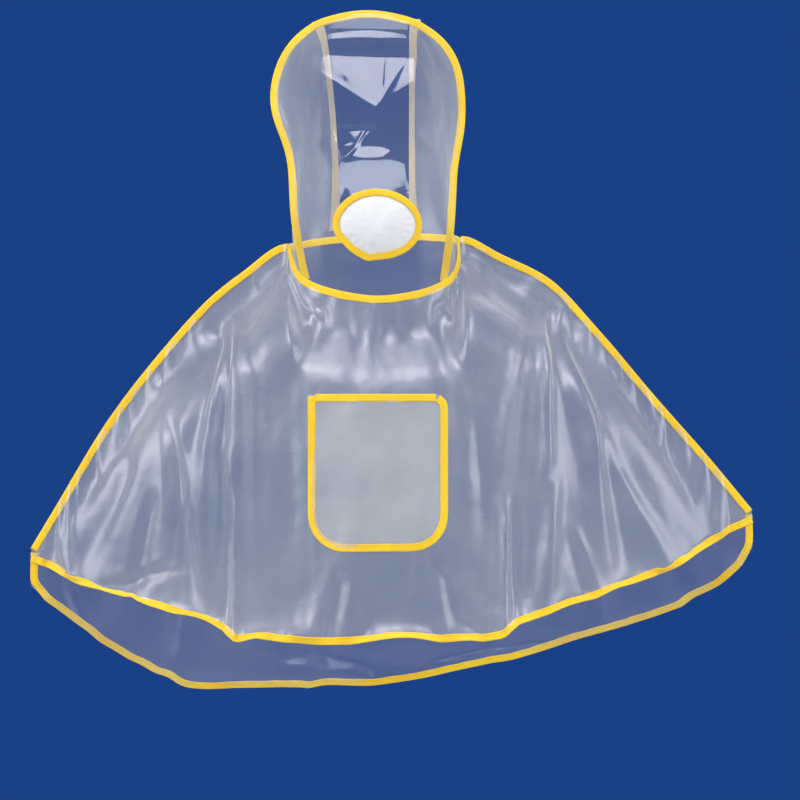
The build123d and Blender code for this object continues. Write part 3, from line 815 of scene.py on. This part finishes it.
a, b = np.linspace(0, 1, SHIELD_COLUMNS), np.linspace(0, 1, SHIELD_ROWS)
shield = sewn(shield_grid(a, b))
x, z = shield[..., 0], shield[..., 2]
CREASES = [(-97, 233, 92, 108, 1.8, 1.5), (47, 239, -44, 80, 1.8, 1.4), (10, 173, 16, 262, 2.0, 0.8)]
CROSS, CROSS_HALF, CROSS_HEIGHT = (10, 173), (84, 62), 6.5
DENT_LOW, DENT_HIGH, DENT_RIM, DENT_TILT = 89, 145, 7, 12.8
DENT_SIDES = [(-39, 89, -54, 47, 71.6), (-58, 135, 46, 19, 50)]
STRIP_MIDDLE, BROW_HEIGHT, FLAT_DEPTH, FLAT_HALF = -6, 4.6, 5.0, 62


def packed(x, z):
    """Heights of the shield's packing marks: sharp creases, the facets of their crossing, a tilted
    dent low on the left, a brow above, and the strip between the hood's seams drawn flat. The dent's
    slanting sides are (a point on the side, the way in from it, the length of that way)."""
    height = sum(crease(x, z, *c) for c in CREASES)
    ax = np.abs((x - CROSS[0]) - 0.12 * (z - CROSS[1])) / CROSS_HALF[0]
    az = np.abs((z - CROSS[1]) + 0.08 * (x - CROSS[0])) / CROSS_HALF[1]
    height = height + CROSS_HEIGHT * np.maximum(0, 1 - np.maximum(ax, az))
    dent = np.minimum(DENT_HIGH - z, z - DENT_LOW) / DENT_RIM
    for x0, z0, dx, dz, length in DENT_SIDES:
        dent = np.minimum(dent, ((x - x0) * dx + (z - z0) * dz) / length / 4)
    height = height + smooth(0, 1, dent) * DENT_TILT * (0.5 - np.clip((z - DENT_LOW) / 54, 0, 1))
    brow = np.minimum(np.clip((z - 237) / 22, 0, 1), 1 - smooth(264, 292, z))
    height = height + BROW_HEIGHT * brow * (1 - smooth(52, 84, np.abs(x - STRIP_MIDDLE)))
    flat = np.maximum(0, 1 - ((x - STRIP_MIDDLE) / FLAT_HALF) ** 2)
    return height - FLAT_DEPTH * flat * smooth(96, 120, z) * (1 - smooth(240, 282, z))


a, b = a[:, None], b[None]
hold = smooth(0, 0.08, a) * smooth(0, 0.08, 1 - a) * smooth(0, 0.1, b) * smooth(0, 0.06, 1 - b)
outward = normals_of(shield)
outward = -np.sign(outward[SHIELD_COLUMNS // 2, SHIELD_ROWS // 2, 1]) * outward
shield = shield + outward * ((packed(x, z) + 1.2 * wander(shield, 120, 3)) * hold)[..., None]
cx, cz = x - PATCH_CENTRE[0], z - PATCH_CENTRE[1]
solid = (cx / HOLE_HALF[0]) ** 2 + (cz / HOLE_HALF[1]) ** 2 > 1
keep = solid[:-1, :-1] | solid[1:, 1:] | solid[1:, :-1] | solid[:-1, 1:]
piece = sheet("face_shield_film", shield, CLEAR, keep)
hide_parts("face_shield")
bending(piece)

rim = np.concatenate([shield[0, :-2], shield[2:-2, -1], shield[-1, :-2][::-1]])
rim = softened(spaced(rim, 2.0), 4)
rim = np.concatenate([[2 * rim[0] - rim[2]], rim, [2 * rim[-1] - rim[-3]]])
tape("face_shield_tape", rim, SHIELD_MIDDLE - rim, bending, 1.2, salt=16,
     nodes=["face_shield_binding"])

for label, grid in sides.items():
    near = grid[-1]
    into, inside = unit(grid[-6] - near), unit(HEAD_MIDDLE - near)
    narrowing = 1 - 0.75 * smooth(len(near) - 13, len(near) - 3, np.arange(len(near)))
    w = LAP_START + LAP_WIDTH * np.linspace(0, 1, 9)[:, None, None] * narrowing[None, :, None]
    strip = near[None] + w * into[None] + LAP_LIFT * inside[None]
    strip = strip + 0.25 * inside[None] * wander(strip, 22, 5)[..., None]
    bending(hood_sheet(f"hood_{label}_seam_lap", strip[:, 4:-3], LAP, [f"hood_{label}_seam_tape"]))


# ---- the breathing patch -------------------------------------------------------------------
CHIN_TOP, CHIN_LOW = 90, -60
RIM_POINT, RIM_FLAT, CLOTH_SHOWN = 257, 216, 0.84
chin = shield.reshape(-1, 3)
chin = chin[(chin[:, 2] < CHIN_TOP) & (chin[:, 2] > CHIN_LOW)]


def shield_y(x, z):
    """y of the shield film at places seen from the front."""
    return depth_on(chin, x, z, 5, 1.0)


def patch_rim(angle):
    """The patch outline: flattened low on the left, with a slight point where its tape ends meet."""
    turn = np.mod(angle, 2 * math.pi)
    swell = 1 + 0.055 * np.exp(-((turn - math.radians(RIM_POINT)) / 0.15) ** 2)
    swell = swell - 0.06 * np.exp(-((turn - math.radians(RIM_FLAT)) / 0.36) ** 2)
    return PATCH_HALF[0] * np.cos(angle) * swell, PATCH_HALF[1] * np.sin(angle) * swell


def patch_disc(crown, lift, puckers):
    """Rings of an oval cloth from near its centre out to the rim, domed and puckered at its tape."""
    turns, rings = 120, 26
    angle = np.linspace(0, 2 * math.pi, turns, endpoint=False)
    share = np.linspace(0.05, 1, rings) ** 0.85
    ex, ez = patch_rim(angle)
    x = PATCH_CENTRE[0] + share[:, None] * ex * 0.985
    z = PATCH_CENTRE[1] + share[:, None] * ez * 0.985
    dome = crown * (1 - np.minimum(1, share[:, None] / CLOTH_SHOWN) ** 2.4) * np.ones_like(x)
    here = np.stack([x, 0 * x, z], -1)
    pull = np.sin(angle * 17 + 2.2 * np.sin(angle * 3)) * np.exp(-((share[:, None] - 0.82) / 0.16) ** 2)
    clear_of_tape = 1 - smooth(0.74, 0.86, share[:, None])
    dome = dome + clear_of_tape * puckers * (
        0.7 * pull + 0.8 * wander(here, 34, 2) * (1 - share[:, None] ** 4)
        + 0.35 * wander(here, 13, 8) * (1 - share[:, None] ** 6))
    y = shield_y(x.ravel(), z.ravel()).reshape(x.shape) - lift - dome
    return np.stack([x, y, z], -1)


for label, crown_height, lift, puckers in (("outer", PATCH_CROWN, 2.2, 0.8), ("filter", 2.6, 1.8, 0.3),
                                           ("inner", 0.0, 1.2, 0.35)):
    p = patch_disc(crown_height, lift, puckers)
    rings, turns = p.shape[:2]
    points = np.concatenate([p.reshape(-1, 3), [p[0].mean(0)]])
    faces = grid_faces(rings, turns, closed=True)
    faces += [(rings * turns, j, (j + 1) % turns) for j in range(turns)]
    piece = mesh_object(f"patch_{label}_cloth", points, faces, points[:, ::2] * MM)
    thick = piece.modifiers.new("thickness", "SOLIDIFY")
    thick.thickness, thick.offset = 0.35 * MM, 0
    piece.data.materials.append(CLOTH_MATERIAL)
    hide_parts(f"patch_{label}_layer")
    on_hood(piece)
angle = np.radians(np.linspace(RIM_POINT, RIM_POINT + 360, 181))[:-1]
ex, ez = patch_rim(angle)
x, z = PATCH_CENTRE[0] + ex, PATCH_CENTRE[1] + ez
loop = np.stack([x, shield_y(x, z) - 2.0, z], 1)
x, z = PATCH_CENTRE[0] + CLOTH_SHOWN * ex, PATCH_CENTRE[1] + CLOTH_SHOWN * ez
inner = np.stack([x, shield_y(x, z) - 2.0, z], 1)
tape("patch_tape", loop, inner - loop, on_hood, 1.7, 9.5, salt=20, nodes=["patch_binding"], loop=True)


# ---- stage, light and camera ---------------------------------------------------------------
def area_light(name, place, size, power):
    """A round lamp aimed at the cape's middle: place and size in metres, power in watts."""
    light = bpy.data.lights.new(name, "AREA")
    light.shape, light.size, light.energy = "DISK", size, power
    o = bpy.data.objects.new(name, light)
    o.location = place
    o.rotation_euler = (Vector(AIM) - Vector(place)).to_track_quat("-Z", "Y").to_euler()
    bpy.context.scene.collection.objects.link(o)


AIM = (0.03, 0.0, -0.2)
for lamp, place, size, power in (("key", (-0.15, -2.6, 2.4), 1.7, 70), ("left", (-3.0, -1.2, 0.7), 2.4, 60),
                                 ("right", (3.1, -1.1, 0.4), 2.4, 48), ("rim", (0.8, 2.4, 1.8), 1.8, 30),
                                 ("top", (0.0, -0.7, 2.6), 1.2, 16)):
    area_light(lamp, place, size, power)

world = bpy.data.worlds.new("studio")
bpy.context.scene.world = world
world.use_nodes = True
nodes, links = world.node_tree.nodes, world.node_tree.links
nodes.clear()
rays = node(nodes, "ShaderNodeLightPath")
soft = node(nodes, "ShaderNodeBackground", {"Color": (0.90, 0.93, 0.98, 1), "Strength": 0.36})
wall = node(nodes, "ShaderNodeBackground", {"Color": (0.010, 0.052, 0.235, 1), "Strength": 1.0})
both = layered(nodes, links, rays.outputs["Is Camera Ray"], soft.outputs[0], wall.outputs[0])
links.new(both, node(nodes, "ShaderNodeOutputWorld").inputs["Surface"])

bpy.ops.mesh.primitive_circle_add(vertices=96, radius=1.6, fill_type="NGON", location=(0.02, 0.0, -1.15))
floor = bpy.context.object
floor.name = "floor"
m, nodes, links = material("floor")
tone = noise_ramp(nodes, links, node(nodes, "ShaderNodeTexCoord").outputs["Object"], 3.0, 0.0, 1.0)
colour = node(nodes, "ShaderNodeMix", data_type="RGBA")
colour.inputs[6].default_value, colour.inputs[7].default_value = (0.66, 0.67, 0.68, 1), (0.72, 0.72, 0.72, 1)
links.new(tone, colour.inputs["Factor"])
paint = node(nodes, "ShaderNodeBsdfPrincipled", {"Roughness": 0.8})
links.new(colour.outputs[2], paint.inputs["Base Color"])
from_below = node(nodes, "ShaderNodeNewGeometry").outputs["Backfacing"]
gone = node(nodes, "ShaderNodeBsdfTransparent").outputs[0]
links.new(layered(nodes, links, from_below, paint.outputs[0], gone),
          node(nodes, "ShaderNodeOutputMaterial").inputs["Surface"])
floor.data.materials.append(m)

camera = bpy.data.cameras.new("camera")
camera.lens, camera.sensor_width = 81.5, 36.0
eye = bpy.data.objects.new("camera", camera)
eye.location, eye.rotation_euler = (0.036, -2.5, -0.221), (math.pi / 2, 0, 0)
bpy.context.scene.collection.objects.link(eye)
bpy.context.scene.camera = eye
bpy.context.scene.view_settings.view_transform = "Standard"
